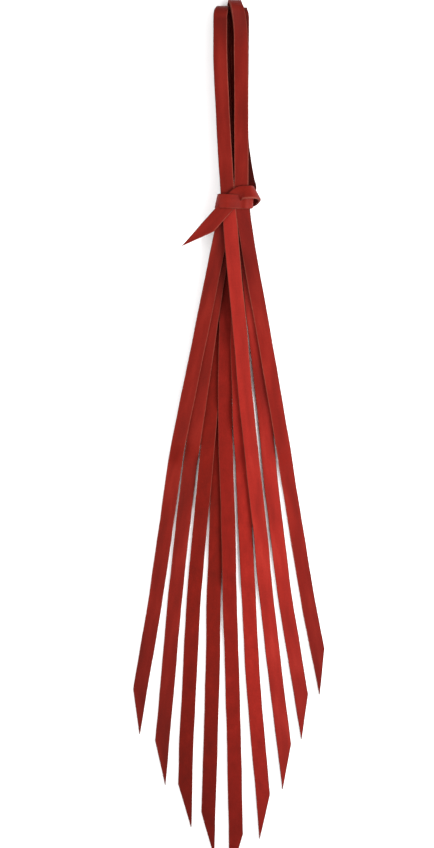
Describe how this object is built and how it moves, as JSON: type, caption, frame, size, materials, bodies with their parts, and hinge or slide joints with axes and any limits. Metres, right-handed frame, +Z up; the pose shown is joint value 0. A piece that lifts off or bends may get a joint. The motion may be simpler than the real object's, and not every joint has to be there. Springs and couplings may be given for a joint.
{
  "type": "leather tassel",
  "caption": "Flat leather tassel: folded laces make two stacks of loops, tied by a knot of the same lace, and fan out below it as long tails with slanted points.",
  "frame": {"origin": "centre of the underside of the knot, where it rests on the ground", "axes": "+Y towards the loops, -Y down the tails, +X to the right seen from above, +Z up through the thickness"},
  "size_m": [0.1415, 0.6495, 0.0223],
  "materials": {
    "red_leather": "drum-dyed red latigo leather with a smooth, lightly waxed grain side"
  },
  "bodies": {
    "knot": {"neck_1": "red_leather", "neck_2": "red_leather", "neck_3": "red_leather", "neck_4": "red_leather", "neck_5": "red_leather", "neck_6": "red_leather", "neck_7": "red_leather", "neck_8": "red_leather", "neck_9": "red_leather", "knot_wrap": "red_leather", "tie_riser": "red_leather", "tie_neck": "red_leather"},
    "left_loops": {"left_loop_outer": "red_leather", "left_loop_middle": "red_leather", "left_loop_inner": "red_leather"},
    "right_loops": {"right_loop_outer": "red_leather", "right_loop_inner": "red_leather", "tie_leg": "red_leather"},
    "tail_1": {"tail_1": "red_leather"},
    "tail_2": {"tail_2": "red_leather"},
    "tail_3": {"tail_3": "red_leather"},
    "tail_4": {"tail_4": "red_leather"},
    "tail_5": {"tail_5": "red_leather"},
    "tail_6": {"tail_6": "red_leather"},
    "tail_7": {"tail_7": "red_leather"},
    "tail_8": {"tail_8": "red_leather"},
    "tail_9": {"tail_9": "red_leather"},
    "tie_end": {"tie_end": "red_leather"}
  },
  "joints": [
    {"name": "left_loops_bend", "type": "hinge", "parent": "knot", "child": "left_loops", "pos_m": [-0.006, 0.011, 0.0172], "axis": [1, 0, 0], "range_deg": [0, 60]},
    {"name": "right_loops_bend", "type": "hinge", "parent": "knot", "child": "right_loops", "pos_m": [0.005, 0.011, 0.0172], "axis": [1, 0, 0], "range_deg": [0, 60]},
    {"name": "tail_1_bend", "type": "hinge", "parent": "knot", "child": "tail_1", "pos_m": [-0.0455, -0.2046, 0.0011], "axis": [-1, 0, 0], "range_deg": [-60, 60]},
    {"name": "tail_2_bend", "type": "hinge", "parent": "knot", "child": "tail_2", "pos_m": [-0.0345, -0.2061, 0.0011], "axis": [-1, 0, 0], "range_deg": [-60, 60]},
    {"name": "tail_3_bend", "type": "hinge", "parent": "knot", "child": "tail_3", "pos_m": [-0.0257, -0.2411, 0.0011], "axis": [-1, 0, 0], "range_deg": [-60, 60]},
    {"name": "tail_4_bend", "type": "hinge", "parent": "knot", "child": "tail_4", "pos_m": [-0.0159, -0.3011, 0.0011], "axis": [-1, 0, 0], "range_deg": [-60, 60]},
    {"name": "tail_5_bend", "type": "hinge", "parent": "knot", "child": "tail_5", "pos_m": [-0.0036, -0.3061, 0.0011], "axis": [-1, 0, 0], "range_deg": [-60, 60]},
    {"name": "tail_6_bend", "type": "hinge", "parent": "knot", "child": "tail_6", "pos_m": [0.0089, -0.2731, 0.0011], "axis": [-1, 0, 0], "range_deg": [-60, 60]},
    {"name": "tail_7_bend", "type": "hinge", "parent": "knot", "child": "tail_7", "pos_m": [0.0211, -0.2761, 0.0011], "axis": [-1, 0, 0], "range_deg": [-60, 60]},
    {"name": "tail_8_bend", "type": "hinge", "parent": "knot", "child": "tail_8", "pos_m": [0.0262, -0.2061, 0.0011], "axis": [-1, 0, 0], "range_deg": [-60, 60]},
    {"name": "tail_9_bend", "type": "hinge", "parent": "knot", "child": "tail_9", "pos_m": [0.0389, -0.2061, 0.0011], "axis": [-1, 0, 0], "range_deg": [-60, 60]},
    {"name": "tie_end_bend", "type": "hinge", "parent": "knot", "child": "tie_end", "pos_m": [-0.00973, -0.00972, 0.0187], "axis": [-0.7455, 0.6665, 0], "range_deg": [0, 60]}
  ]
}
